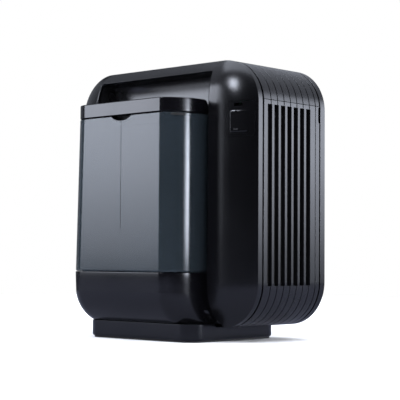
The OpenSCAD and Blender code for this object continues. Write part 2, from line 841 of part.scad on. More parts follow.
module power_inlet() at_inlet() color("#101113") difference() {
    translate([0, inlet_d / 2, 0]) cube([inlet_w, inlet_d, inlet_h], center = true);
    translate([0, -1, 0]) rotate([-90, 0, 0]) linear_extrude(socket_d + 1) {
        for (sx = [-1, 1]) translate([sx * socket_x, 0]) circle(socket_r);
        square(2 * [socket_x, socket_r], center = true);
    }
}

module inlet_pins() at_inlet() color("#c8a84a") for (sx = [-1, 1])
    translate([sx * pin_x, 3, 0]) rotate([-90, 0, 0]) cylinder(r = pin_r, h = pin_l);

rear_shell();
front_shell();
chassis_ring();
top_band();
bottom_band();
tank_bay();
reservoir_housing();
pedestal();
base_plate();
foot_ring();
water_tray();
filter_frame_right();
filter_frame_left();
wick_filter_right();
wick_filter_left();
side_panel_right();
side_panel_left();
access_cover();
humidity_sensor();
water_tank();
tank_lid();
lid_seal();
tank_cap();
cap_seal();
valve_cage();
valve_plunger();
valve_washer();
valve_spring();
float();
fan_shroud();
motor_mount();
fan_motor();
motor_shaft();
fan_rotor();
outlet_grille();
control_panel();
control_board();
speed_control();
speed_knob();
knob_shaft();
power_switch();
power_button();
indicator_lens();
power_inlet();
inlet_pins();
case_screws();
motor_screws();
base_screws();
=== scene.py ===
import math

import bmesh
import bpy
import numpy as np
from mathutils import Matrix, Vector


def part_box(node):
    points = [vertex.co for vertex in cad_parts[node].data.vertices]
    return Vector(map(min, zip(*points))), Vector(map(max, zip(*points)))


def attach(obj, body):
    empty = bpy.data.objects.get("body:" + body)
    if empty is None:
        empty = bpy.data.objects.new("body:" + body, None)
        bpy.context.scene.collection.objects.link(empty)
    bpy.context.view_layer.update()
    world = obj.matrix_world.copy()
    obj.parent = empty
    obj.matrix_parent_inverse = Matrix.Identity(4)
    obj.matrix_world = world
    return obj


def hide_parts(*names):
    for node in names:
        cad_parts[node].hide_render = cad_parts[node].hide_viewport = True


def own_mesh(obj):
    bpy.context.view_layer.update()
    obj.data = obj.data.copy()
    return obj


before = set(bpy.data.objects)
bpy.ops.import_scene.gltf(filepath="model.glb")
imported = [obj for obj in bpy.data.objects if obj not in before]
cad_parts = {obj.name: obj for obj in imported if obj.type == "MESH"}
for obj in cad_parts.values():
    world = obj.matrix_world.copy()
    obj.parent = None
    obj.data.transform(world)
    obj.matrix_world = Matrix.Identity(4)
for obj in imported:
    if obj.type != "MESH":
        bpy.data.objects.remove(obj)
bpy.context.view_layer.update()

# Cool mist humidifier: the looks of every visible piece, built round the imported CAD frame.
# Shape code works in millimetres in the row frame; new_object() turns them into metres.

MM = 0.001


def box_mm(node):
    """Lowest and highest corner of a CAD node, in millimetres."""
    low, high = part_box(node)
    return np.array(low) / MM, np.array(high) / MM


# ---------------------------------------------------------------- driving sizes, from the frame

REAR_LO, REAR_HI = box_mm("rear_shell")
FRONT_LO, FRONT_HI = box_mm("front_shell")
BAND_LO, BAND_HI = box_mm("top_band")
TANK_LO, TANK_HI = box_mm("water_tank")
LID_LO, LID_HI = box_mm("tank_lid")
BAY_LO, BAY_HI = box_mm("tank_bay")
HOUSING_HI = box_mm("reservoir_housing")[1]
PEDESTAL_LO, PEDESTAL_HI = box_mm("pedestal")
FOOT_LO, FOOT_HI = box_mm("foot_ring")
COVER_LO, COVER_HI = box_mm("access_cover")
GRILLE_LO, GRILLE_HI = box_mm("outlet_grille")
PANEL_LO, PANEL_HI = box_mm("control_panel")
CAP_LO, CAP_HI = box_mm("tank_cap")
INLET_LO, INLET_HI = box_mm("power_inlet")

HALF_W = FRONT_HI[0]
TOP = FRONT_HI[2]
BOTTOM = FRONT_LO[2]
MID_Y = (REAR_LO[1] + FRONT_HI[1]) / 2
MID_Z = (TOP + BOTTOM) / 2
CORNER_R = 53.0
DOME_RISE = 16.0
DOME_RUN = 42.0
CROWN, CROWN_FROM, CROWN_TO = 1.3, 37.0, 66.0    # the faces go on rising gently inside the run
ARC_RISE = DOME_RISE - CROWN
DOME_R = (DOME_RUN**2 + ARC_RISE**2) / (2 * ARC_RISE)
HALF_D = MID_Y - REAR_LO[1] - DOME_RISE      # from the middle plane to each crease
WALL = 3.0                                   # thickness of the front shell's dome
RIM_WALL = 5.5                               # thickness of both shells' rims
RIM_EDGE_R = 0.4                             # rounding of the rims' outer edges
RIM_END = REAR_HI[1]                         # where the rear shell's rim meets the ribbed band
FLAT_X = HALF_W - CORNER_R
FLAT_Z = (TOP - BOTTOM) / 2 - CORNER_R

RIB_PITCH = 12.0
RIB_EDGE_R = 0.35
BAND_DEPTH = 5.4                             # from the ribs' tops to the band's inner side
BAND_GAP = 0.6                               # between the band and the rear shell's rim
GROOVE_HALF = 0.5
GROOVE_DEPTH = 2.2
FIRST_GROOVE = MID_Y - 40.0
GROOVES = 8
SLOTS = 7
SLOT_W = 8.2
SLOT_SHIFT = 1.9                             # how far a slot reaches past its groove
SLOT_LOW, SLOT_HIGH = 66.0, 276.6
SLOT_R = 0.6
FINGER_Z, FINGER_W, FINGER_H, FINGER_R = 271.0, 4.4, 19.0, 2.1    # finger notch of a side panel
BAFFLE_X = (112.0, 113.5)
BAFFLE_Y = MID_Y - 39.5
BAFFLE_W = 10.0
SEAM_Z = 281.7
SEAM_HALF = 0.35
LEG_X = 97.0

BAY_X0, BAY_X1 = BAY_LO[0] + 2.5, BAY_HI[0] - 2.5
BAY_TOP = BAY_HI[2] - 2.5
BAY_BACK = MID_Y - 45.0
BAY_SKIN = 2.4                               # thickness of the bay's own walls
BAY_CORNER_R = 3.0
BAY_LIP = 5.0                                # from the creases to the front of the bay's roof
TOP_EDGE_R, SIDE_EDGE_R = 1.2, 2.6           # roundings of the bay's upper and side edges
EDGE_FROM, EDGE_TO = 60.0, 150.0             # heights over which the side edges grow to theirs
SCOOP_H, SCOOP_D = 22.0, 10.0
FLARE_TOP = 62.0                             # where the bay's right edge starts to flare
FLARE_X = 19.0                               # how far it flares by the time it is underneath
DECK_Z = HOUSING_HI[2]
BULGE_R = 44.1
BULGE_TOP = 60.0
BULGE_LEAN = 0.9                             # how far the bulge leans in above that
SKIRT_TOP = 56.0                             # where its right side turns out to the pedestal
VALLEY = 10.0                                # depth of the valley between bulge and shell
VALLEY_GAP = 0.6                             # how far the valley's end lies under the shell's edge
VALLEY_R = 7.0                               # the valley's rounding
PED_R = 20.0
PED_LOW_R, PED_TOP_R = 3.0, 0.25
FOOT_INSET = 2.5                             # from the pedestal's side to the foot ring's
WELL_GAP = 2.0                               # round the tank's cap
WELL_RUN = 19.0                              # how far the well runs on towards the tank's front
WELL_FLOOR = 45.0

NOTCH_X = (CAP_LO[0] + CAP_HI[0]) / 2
TANK_FRONT = TANK_LO[1]
TANK_R = 23.0
TANK_RY = 46.0                               # the right front corner is drawn out in depth
TANK_WALL = 2.5
TANK_DRAFT = 3.0                             # the left side leans out towards the bottom
NOTCH_W, NOTCH_H, NOTCH_DEPTH = 39.0, 7.5, 9.0
LINE_Z = 133.0                               # where the tank's middle line turns from groove to bead
LINE_HALF, LINE_DEPTH, BEAD_R = 0.35, 0.45, 0.3
TANK_LOW_R, TANK_TOP_R = 2.0, 0.5
TANK_GAP = 0.4                               # between the tank and the deck
LID_SEAM = LID_LO[2] + 8.0
SEAM_GAP = 1.5                               # between the tank and the lid
LID_SIDE, LID_ROOF = 4.0, 2.5                # the lid's wall and roof
LID_BACK_R, LID_BACK_RUN = 9.0, 28.0         # the curve down at the lid's back
SPRING_WIRE_R = 0.5
SPRING_TURNS = 5

COVER_R, COVER_GAP, COVER_T = 3.0, 0.4, 2.4  # corners, seam and thickness of the access cover
COVER_BACK_T = 1.0
FIELD_RISE = 0.35                            # the cover's raised field
INLET_W, INLET_H, INLET_R = 17.0, 13.0, 1.5
OUTLET_W, OUTLET_H, OUTLET_R = 180.0, 172.0, 26.0
PANEL_W, PANEL_H, PANEL_R = 150.0, 30.0, 8.0
PAST = 5.0                                   # how far cutters reach past what they cut


# ---------------------------------------------------------------- mesh helpers

def quarter_turn(steps):
    """Angles from 0 to 90 degrees, in radians."""
    return [math.radians(90 * k / steps) for k in range(steps + 1)]


def new_object(name, verts, faces):
    mesh = bpy.data.meshes.new(name)
    mesh.from_pydata([tuple(float(c) * MM for c in v) for v in verts], [], faces)
    mesh.validate()
    obj = bpy.data.objects.new(name, mesh)
    bpy.context.scene.collection.objects.link(obj)
    tidy = bmesh.new()
    tidy.from_mesh(mesh)
    bmesh.ops.remove_doubles(tidy, verts=tidy.verts, dist=1e-6)
    bmesh.ops.recalc_face_normals(tidy, faces=tidy.faces)
    tidy.to_mesh(mesh)
    tidy.free()
    return obj


def loft(name, rows, ring=True, ends=True, loop=False):
    """A skin through rows of points. ring joins each row's end to its start, ends adds caps,
    and loop joins the last row to the first."""
    count, width = len(rows), len(rows[0])
    verts = [p for row in rows for p in row]
    faces = []
    for i in range(count if loop else count - 1):
        for j in range(width if ring else width - 1):
            a, b = i * width + j, i * width + (j + 1) % width
            c, d = ((i + 1) % count) * width + (j + 1) % width, ((i + 1) % count) * width + j
            faces.append((a, b, c, d))
    if ends and not loop:
        faces.append(tuple(range(width))[::-1])
        faces.append(tuple((count - 1) * width + j for j in range(width)))
    return new_object(name, verts, faces)


def plan_ring(x0, x1, y0, y1, radius, steps=14, last=None):
    """Points round a rounded rectangle, anticlockwise from its right side; last is the Y radius
    of the lower right corner where that corner is drawn out."""
    points = []
    drawn = radius if last is None else last
    corners = [(x1 - radius, y1 - radius, radius), (x0 + radius, y1 - radius, radius),
               (x0 + radius, y0 + radius, radius), (x1 - radius, y0 + drawn, drawn)]
    for quarter, (cx, cy, ry) in enumerate(corners):
        for k in range(steps + 1):
            a = math.radians(90 * quarter + 90 * k / steps)
            points.append((cx + radius * math.cos(a), cy + ry * math.sin(a)))
    return points


def apply_modifiers(obj):
    bpy.context.view_layer.update()
    graph = bpy.context.evaluated_depsgraph_get()
    mesh = bpy.data.meshes.new_from_object(obj.evaluated_get(graph))
    obj.modifiers.clear()
    obj.data = mesh


def cut(obj, *cutters, operation="DIFFERENCE"):
    for cutter in cutters:
        modifier = obj.modifiers.new("cut", "BOOLEAN")
        modifier.operation = operation
        modifier.solver = "EXACT"
        modifier.object = cutter
        apply_modifiers(obj)
        bpy.data.objects.remove(cutter)
    return obj


def shade(obj, angle=32):
    """Smooth shading with sharp edges kept, and normals that leave flat faces flat."""
    obj.data.shade_smooth()
    obj.data.set_sharp_from_angle(angle=math.radians(angle))
    modifier = obj.modifiers.new("normals", "WEIGHTED_NORMAL")
    modifier.keep_sharp = True
    modifier.weight = 80
    apply_modifiers(obj)
    return obj


def dress(obj, body, surface, slot, *nodes, angle=32):
    """Gives a finished piece its shading, material and body, and hides the CAD nodes it stands for."""
    shade(obj, angle)
    if surface is not None:
        obj.data.materials.clear()
        obj.data.materials.append(surface)
    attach(obj, body)
    if nodes:
        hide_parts(*nodes)
    return obj


def prism_y(name, x, z, w, h, radius, y0, y1, steps=8):
    """A rounded rectangle in XZ, extruded along Y."""
    outline = plan_ring(x - w / 2, x + w / 2, z - h / 2, z + h / 2, radius, steps)
    return loft(name, [[(px, y, pz) for px, pz in outline] for y in (y0, y1)])


def prism_x(name, y, z, w, h, radius, x0, x1, steps=6):
    """A rounded rectangle in YZ, extruded along X."""
    outline = plan_ring(y - w / 2, y + w / 2, z - h / 2, z + h / 2, radius, steps)
    return loft(name, [[(x, py, pz) for py, pz in outline] for x in (x0, x1)])


# ---------------------------------------------------------------- the body's rounded square

def smooth_step(value, low, high):
    t = min(1.0, max(0.0, (value - low) / (high - low)))
    return t * t * (3 - 2 * t)


def corner_stations(sx, sz, start, end, steps):
    """Stations (centre and outward normal) round one corner, from start to end degrees."""
    stations = []
    for k in range(steps + 1):
        a = math.radians(start + (end - start) * k / steps)
        stations.append((sx * FLAT_X, MID_Z + sz * FLAT_Z, math.cos(a), math.sin(a)))
    return stations


def at_station(station, inset):
    cx, cz, nx, nz = station
    return cx + nx * (CORNER_R - inset), cz + nz * (CORNER_R - inset)


def in_space(station, inset, y):
    x, z = at_station(station, inset)
    return x, y, z


def body_loop(steps=20):
    """Stations all round, anticlockwise as seen from -Y, from the right side's top."""
    return (corner_stations(1, 1, 0, 90, steps) + corner_stations(-1, 1, 90, 180, steps)
            + corner_stations(-1, -1, 180, 270, steps) + corner_stations(1, -1, 270, 360, steps))


def dome_height(u):
    """How far the domes stand out from a crease, at an inset from the outline."""
    crown = CROWN * min(1.0, max(0.0, (u - CROWN_FROM) / (CROWN_TO - CROWN_FROM)))
    if u >= DOME_RUN:
        return ARC_RISE + crown
    return math.sqrt(DOME_R**2 - (DOME_RUN - u) ** 2) - (DOME_R - ARC_RISE) + crown


def face_y(x, z):
    """The rear dome's surface over a point."""
    return MID_Y - HALF_D - dome_height(max(0.0, inset_at(x, z)))


def inset_at(x, z):
    """How far inside the body's outline a point lies."""
    dx, dz = abs(x) - FLAT_X, abs(z - MID_Z) - FLAT_Z
    if dx > 0 and dz > 0:
        return CORNER_R - math.hypot(dx, dz)
    return CORNER_R - max(dx, dz)


def sweep_band(name, stations, profile):
    """Sweeps a closed (inset, y) profile round part of the outline."""
    return loft(name, [[in_space(station, inset, y) for inset, y in profile] for station in stations])


# ---------------------------------------------------------------- materials

def material(name, color, roughness, bump=0.0, bump_scale=900.0, variation=0.15,
             metallic=0.0, rough_variation=0.06, smudge_scale=14.0, specular=0.5):
    """Moulded plastic, rubber or metal: fine moulded grain, faint smudges and tonal drift."""
    mat = bpy.data.materials.new(name)
    mat.use_nodes = True
    nodes, links = mat.node_tree.nodes, mat.node_tree.links
    bsdf = nodes["Principled BSDF"]
    bsdf.inputs["Metallic"].default_value = metallic
    bsdf.inputs["Specular IOR Level"].default_value = specular
    place = nodes.new("ShaderNodeTexCoord")

    drift = nodes.new("ShaderNodeTexNoise")
    drift.inputs["Scale"].default_value = smudge_scale
    drift.inputs["Detail"].default_value = 5.0
    links.new(place.outputs["Object"], drift.inputs["Vector"])

    tone = nodes.new("ShaderNodeValToRGB")
    tone.color_ramp.elements[0].position = 0.3
    tone.color_ramp.elements[1].position = 0.7
    tone.color_ramp.elements[0].color = [c * (1 - variation) for c in color] + [1]
    tone.color_ramp.elements[1].color = [c * (1 + variation) for c in color] + [1]
    links.new(drift.outputs["Fac"], tone.inputs["Fac"])
    links.new(tone.outputs["Color"], bsdf.inputs["Base Color"])

    gloss = nodes.new("ShaderNodeMapRange")
    gloss.inputs["From Min"].default_value = 0.3
    gloss.inputs["From Max"].default_value = 0.7
    gloss.inputs["To Min"].default_value = max(0.02, roughness - rough_variation)
    gloss.inputs["To Max"].default_value = roughness + rough_variation
    links.new(drift.outputs["Fac"], gloss.inputs["Value"])
    links.new(gloss.outputs["Result"], bsdf.inputs["Roughness"])

    if bump:
        grain = nodes.new("ShaderNodeTexNoise")
        grain.inputs["Scale"].default_value = bump_scale
        grain.inputs["Detail"].default_value = 3.0
        links.new(place.outputs["Object"], grain.inputs["Vector"])
        relief = nodes.new("ShaderNodeBump")
        relief.inputs["Strength"].default_value = bump
        relief.inputs["Distance"].default_value = 0.0002
        links.new(grain.outputs["Fac"], relief.inputs["Height"])
        links.new(relief.outputs["Normal"], bsdf.inputs["Normal"])
    return mat


SHELL = material("shell_plastic", (0.0018, 0.0018, 0.0024), 0.23, bump=0.08, rough_variation=0.03)
HOUSING = material("housing_plastic", (0.0022, 0.0022, 0.0030), 0.17, bump=0.08,
                   rough_variation=0.03, specular=0.47)
BAND = material("band_plastic", (0.0025, 0.0025, 0.0034), 0.25, bump=0.10, rough_variation=0.03)
# Dark matte walls for slots, notches, pockets and baffles: painted shade, standing in for the shadow
# inside these recesses.
SHADE_WALL = material("painted_shade_walls", (0.004, 0.004, 0.005), 0.55, bump=0.15, specular=0.12)
BAY = material("bay_plastic", (0.0095, 0.0098, 0.0115), 0.25, bump=0.08, rough_variation=0.03,
               specular=0.65)
LID = material("lid_plastic", (0.002, 0.002, 0.003), 0.20, bump=0.05, rough_variation=0.03)
PANEL = material("panel_plastic", (0.006, 0.006, 0.008), 0.10, rough_variation=0.03)
INNER = material("inner_plastic", (0.020, 0.021, 0.024), 0.5, bump=0.2)
TRAY = material("tray_plastic", (0.045, 0.047, 0.052), 0.5, bump=0.15, specular=0.3)
WHITE = material("valve_plastic", (0.68, 0.68, 0.66), 0.4, bump=0.1)
FOAM = material("float_foam", (0.72, 0.69, 0.60), 0.8, bump=0.8, bump_scale=500.0)
WICK = material("wick_paper", (0.030, 0.029, 0.028), 0.9, bump=1.0, bump_scale=260.0, variation=0.3,
                specular=0.1)
RUBBER = material("rubber", (0.010, 0.010, 0.010), 0.7, bump=0.4, bump_scale=700.0)
STEEL = material("plated_steel", (0.55, 0.55, 0.57), 0.28, metallic=1.0, bump=0.1)
CAN = material("motor_can", (0.32, 0.33, 0.35), 0.38, metallic=1.0, bump=0.2)
BOARD = material("circuit_board", (0.015, 0.10, 0.045), 0.35, variation=0.3)
LENS = material("lens", (0.05, 0.35, 0.10), 0.12)
BRASS = material("brass", (0.75, 0.55, 0.22), 0.25, metallic=1.0)


def tank_material(name, color, alpha, roughness):
    """Smoke-tinted clear plastic: a glossy tint that lets a little through."""
    mat = material(name, color, roughness, bump=0.02, bump_scale=60.0, rough_variation=0.02,
                   smudge_scale=9.0)
    mat.node_tree.nodes["Principled BSDF"].inputs["Alpha"].default_value = alpha
    return mat


SMOKE = tank_material("smoke_tank", (0.0148, 0.0205, 0.0255), 0.86, 0.14)

# ---------------------------------------------------------------- camera

CAMERA_X = 1099.8
CAMERA_Y = MID_Y - 1200.5
CAMERA_Z = 98.4
CAMERA_YAW, CAMERA_PITCH, CAMERA_ROLL = 42.5, 2.54, 0.32

camera = bpy.data.objects.new("camera", bpy.data.cameras.new("camera"))
bpy.context.scene.collection.objects.link(camera)
camera.data.lens = 117.0
camera.data.sensor_width = 36.0
camera.data.clip_start = 0.05
camera.location = Vector((CAMERA_X, CAMERA_Y, CAMERA_Z)) * MM
camera.rotation_euler = (
    Matrix.Rotation(math.radians(CAMERA_YAW), 3, "Z")
    @ Matrix.Rotation(math.radians(90 + CAMERA_PITCH), 3, "X")
    @ Matrix.Rotation(math.radians(CAMERA_ROLL), 3, "Z")
).to_euler()
bpy.context.scene.camera = camera

# ---------------------------------------------------------------- rear shell

def bay_edge_x(z):
    """The bay's right edge, which flares out towards the pedestal."""
    if z >= FLARE_TOP:
        return BAY_X1
    drop = (FLARE_TOP - z) / (FLARE_TOP - BOTTOM)
    return BAY_X1 + FLARE_X * (1 - math.sqrt(max(0.0, 1 - drop**2)))


def path_between(a, b, steps):
    return [(a[0] + (b[0] - a[0]) * k / steps, a[1] + (b[1] - a[1]) * k / steps)
            for k in range(steps)]


def outline_arc(sx, sz, start, end, steps):
    return [at_station(s, 0) for s in corner_stations(sx, sz, start, end, steps)][:-1]


def underside(x):
    """Height of the body's outline under a point near one of its lower corners."""
    reach = max(0.0, abs(x) - FLAT_X)
    return BOTTOM + CORNER_R - math.sqrt(CORNER_R**2 - reach**2)


def rear_paths():
    """Matching points along the outline and along the bay's edge, from lower left to lower right."""
    side_low, side_high = MID_Z - FLAT_Z, MID_Z + FLAT_Z
    left_foot = (BAY_X0, underside(BAY_X0))
    start = 270 - math.degrees(math.asin((-BAY_X0 - FLAT_X) / CORNER_R))
    r = BAY_CORNER_R
    left_end = -FLAT_X + 2                   # the edge's stretches end a little off the outline's,
    right_out, right_in = BAY_X1 - 6, BAY_X1 - 12        # so that the rows fan out evenly
    tuck = 0.4                               # the last row ends under the housing
    outer = outline_arc(-1, -1, start, 180, 16)
    inner = path_between(left_foot, (BAY_X0, side_low), 16)
    outer += path_between((-HALF_W, side_low), (-HALF_W, side_high), 24)
    inner += path_between((BAY_X0, side_low), (BAY_X0, side_high), 24)
    outer += outline_arc(-1, 1, 180, 135, 12)
    inner += path_between((BAY_X0, side_high), (BAY_X0, BAY_TOP - r), 12)
    outer += outline_arc(-1, 1, 135, 110, 8)
    inner += [(BAY_X0 + r - r * math.cos(a), BAY_TOP - r + r * math.sin(a))
              for a in quarter_turn(8)[:-1]]
    outer += outline_arc(-1, 1, 110, 90, 6)
    inner += path_between((BAY_X0 + r, BAY_TOP), (left_end, BAY_TOP), 6)
    outer += path_between((-FLAT_X, TOP), (right_out, TOP), 24)
    inner += path_between((left_end, BAY_TOP), (right_in, BAY_TOP), 24)
    outer += path_between((right_out, TOP), (FLAT_X, TOP), 6)
    inner += path_between((right_in, BAY_TOP), (BAY_X1 - r, BAY_TOP), 6)
    outer += outline_arc(1, 1, 90, 60, 8)
    inner += [(BAY_X1 - r + r * math.sin(a), BAY_TOP - r + r * math.cos(a))
              for a in quarter_turn(8)[:-1]]
    outer += outline_arc(1, 1, 60, 0, 16)
    inner += path_between((BAY_X1, BAY_TOP - r), (BAY_X1, side_high), 16)
    outer += path_between((HALF_W, side_high), (HALF_W, side_low), 24)
    inner += path_between((BAY_X1, side_high), (BAY_X1, side_low), 24)
    foot_x = BAY_X1 + FLARE_X
    foot_z = underside(foot_x)
    end = 270 + math.degrees(math.asin((foot_x + tuck - FLAT_X) / CORNER_R))
    outer += outline_arc(1, -1, 360, end, 24)
    low = [side_low + (foot_z - side_low) * k / 24 for k in range(24)]
    inner += [(bay_edge_x(z), z) for z in low]
    outer.append((foot_x + tuck, underside(foot_x + tuck)))
    inner.append((bay_edge_x(foot_z) - tuck / 2, foot_z))
    return np.array(outer), np.array(inner)


def build_rear_shell():
    """The dome round the bay, from the bay's edge out to the crease and along the rim."""
    outer, inner = rear_paths()
    tangent = np.gradient(inner, axis=0)
    normal = np.stack([tangent[:, 1], -tangent[:, 0]], axis=1)
    normal /= np.linalg.norm(normal, axis=1)[:, None]        # points into the bay
    across = [k / 26 for k in range(1, 27)]
    crease = MID_Y - HALF_D
    rim = ((0, crease + 0.5), (0, RIM_END - RIM_EDGE_R),
           (RIM_EDGE_R * 0.3, RIM_END - RIM_EDGE_R * 0.3), (RIM_EDGE_R, RIM_END),
           (RIM_WALL, RIM_END), (RIM_WALL, crease))
    rows = []
    for (ox, oz), (ix, iz), (nx, nz) in zip(outer, inner, normal):
        growth = abs(nx) * smooth_step(iz, EDGE_FROM, EDGE_TO)
        edge_r = TOP_EDGE_R + (SIDE_EDGE_R - TOP_EDGE_R) * growth
        ex, ez = ix - nx * edge_r, iz - nz * edge_r
        edge_y = face_y(ex, ez)
        row = [(ix, edge_y + VALLEY + 4, iz)]
        for a in quarter_turn(6):
            back = edge_r * (1 - math.cos(a))
            row.append((ix - nx * back, edge_y + edge_r * (1 - math.sin(a)), iz - nz * back))
        for t in across:
            x, z = ex + (ox - ex) * t, ez + (oz - ez) * t
            inset = 0.0 if t == 1 else max(0.0, inset_at(x, z))
            row.append((x, crease - dome_height(inset), z))
        out_x, out_z = outline_normal(ox, oz)
        row += [(ox - out_x * inset, y, oz - out_z * inset) for inset, y in rim]
        rows.append(row)
    return loft("rear_shell_skin", rows)


def outline_normal(x, z):
    """Outward normal of the body's outline at a point on it."""
    dx, dz = abs(x) - FLAT_X, abs(z - MID_Z) - FLAT_Z
    sx, sz = math.copysign(1, x), math.copysign(1, z - MID_Z)
    if dx > 0 and dz > 0:
        length = math.hypot(dx, dz)
        return sx * dx / length, sz * dz / length
    return (sx, 0.0) if dx > dz else (0.0, sz)


def cover_outline(grow):
    """The access cover's sides, lower and upper edge, moved outwards by grow."""
    x0, x1 = COVER_LO[0] - grow, COVER_HI[0] + grow
    z0, z1 = COVER_LO[2] - grow, COVER_HI[2] + grow
    return x0, x1, z0, z1


def cover_cutter(grow):
    x0, x1, z0, z1 = cover_outline(grow)
    return prism_y("cover_cutter", (x0 + x1) / 2, (z0 + z1) / 2, x1 - x0, z1 - z0, COVER_R + grow,
                   MID_Y - HALF_D + PAST, REAR_LO[1] - PAST)


def height_slab(name, x0, x1, z0, z1, depth_at, thickness, step=0.5):
    """A slab whose outer face follows depth_at(x, z), thickness deep towards +Y."""
    nx, nz = int((x1 - x0) / step) + 1, int((z1 - z0) / step) + 1
    xs, zs = np.linspace(x0, x1, nx), np.linspace(z0, z1, nz)
    verts = [(x, depth_at(x, z), z) for z in zs for x in xs]
    verts += [(x, y + thickness, z) for x, y, z in verts]
    half = nx * nz
    faces = []
    for j in range(nz - 1):
        for i in range(nx - 1):
            a = j * nx + i
            faces.append((a, a + 1, a + nx + 1, a + nx))
            faces.append((half + a, half + a + nx, half + a + nx + 1, half + a + 1))
    rim = ([j * nx for j in range(nz)] + [(nz - 1) * nx + i for i in range(1, nx)]
           + [j * nx + nx - 1 for j in range(nz - 2, -1, -1)] + [i for i in range(nx - 2, 0, -1)])
    for a, b in zip(rim, rim[1:] + rim[:1]):
        faces.append((a, b, half + b, half + a))
    return new_object(name, verts, faces)


def field(x, z, x0, x1, z0, z1, edge):
    """1 inside a rectangle and 0 outside it, with a soft edge."""
    return (smooth_step(x, x0 - edge, x0) * (1 - smooth_step(x, x1, x1 + edge))
            * smooth_step(z, z0 - edge, z0) * (1 - smooth_step(z, z1, z1 + edge)))


def build_access_cover():
    """A patch of the dome with rounded edges, a raised inner field and a nail slot."""
    x0, x1, z0, z1 = cover_outline(0)

    def depth_at(x, z):
        return face_y(x, z) - FIELD_RISE * field(x, z, x0 + 6, x1 - 8, z0 + 5, z1 - 11, 0.6)

    cover = height_slab("access_cover_skin", x0 - 1, x1 + 1, z0 - 1, z1 + 1, depth_at, COVER_T)
    cut(cover, cover_cutter(0), operation="INTERSECT")
    nail_slot = prism_y("slot_cutter", x=x0 + 15, z=z1 - 3.6, w=10, h=3.4, radius=0.8,
                        y0=MID_Y - HALF_D + PAST, y1=REAR_LO[1] - PAST)
    cut(cover, nail_slot)
    for x, z, w in ((x0 + 19, z1 - 10.8, 15), (x0 + 12, z0 + 7.6, 12)):
        cut(cover, prism_y("line_cutter", x, z, w, 0.8, 0.3, MID_Y - HALF_D - 12, REAR_LO[1] - PAST))
    cover.data.materials.append(SHELL)
    cover.data.materials.append(SHADE_WALL)
    # Faces not facing along Y, the walls of the cover's edges, nail slot and lines, take the dark wall
    # material: painted shade in the seams and slots.
    for face in cover.data.polygons:
        face.material_index = int(abs(face.normal.y) < 0.3)
    back_y = MID_Y - HALF_D - 0.6
    back = prism_y("cover_back", (x0 + x1) / 2, (z0 + z1) / 2, x1 - x0 - 4, z1 - z0 - 4, 2,
                   back_y, back_y - COVER_BACK_T)
    dress(back, "cover", BAY, "shell_black")
    return cover


# The rear shell with the openings for the cover and the mains inlet.
rear = build_rear_shell()
inlet_cut = prism_y("inlet_cutter", (INLET_LO[0] + INLET_HI[0]) / 2, (INLET_LO[2] + INLET_HI[2]) / 2,
                    INLET_W, INLET_H, INLET_R, INLET_LO[1] + 12, REAR_LO[1] - PAST)
cut(rear, cover_cutter(COVER_GAP), inlet_cut)
dress(rear, "housing", SHELL, "shell_black", "rear_shell", angle=28)

dress(build_access_cover(), "cover", None, "shell_black", "access_cover", angle=28)

# ---------------------------------------------------------------- ribbed band

def comb_profile():
    """Outer side of the ribbed band, as (inset, y) from its -Y edge to its +Y edge."""
    low, high = BAND_LO[1] + BAND_GAP, BAND_HI[1]
    r, h = RIB_EDGE_R, GROOVE_HALF
    points = [(BAND_DEPTH, low), (r, low), (r * 0.3, low + r * 0.3), (0, low + r)]
    for k in range(GROOVES):
        g = FIRST_GROOVE + k * RIB_PITCH
        points += [(0, g - h - r), (r * 0.3, g - h - r * 0.3), (r, g - h), (GROOVE_DEPTH, g - h * 0.7),
                   (GROOVE_DEPTH, g + h * 0.7), (r, g + h), (r * 0.3, g + h + r * 0.3), (0, g + h + r)]
    points += [(0, high - r), (r * 0.3, high - r * 0.3), (r, high), (BAND_DEPTH, high)]
    return points


def seam_angle(z):
    """Degrees up the upper right corner at which a height is reached."""
    return math.degrees(math.asin((z - MID_Z - FLAT_Z) / CORNER_R))


def side_cutters():
    """The slots and the finger notch of a side panel."""
    middle_z, height = (SLOT_LOW + SLOT_HIGH) / 2, SLOT_HIGH - SLOT_LOW
    cutters = []
    for k in range(SLOTS):
        y1 = FIRST_GROOVE + k * RIB_PITCH + SLOT_SHIFT
        cutters.append(prism_x("slot_cutter", y1 - SLOT_W / 2, middle_z, SLOT_W, height, SLOT_R,
                               FLAT_X, HALF_W + PAST))
    cutters.append(prism_x("notch_cutter", BAND_HI[1], FINGER_Z, FINGER_W, FINGER_H, FINGER_R,
                           FLAT_X, HALF_W + PAST))
    return cutters


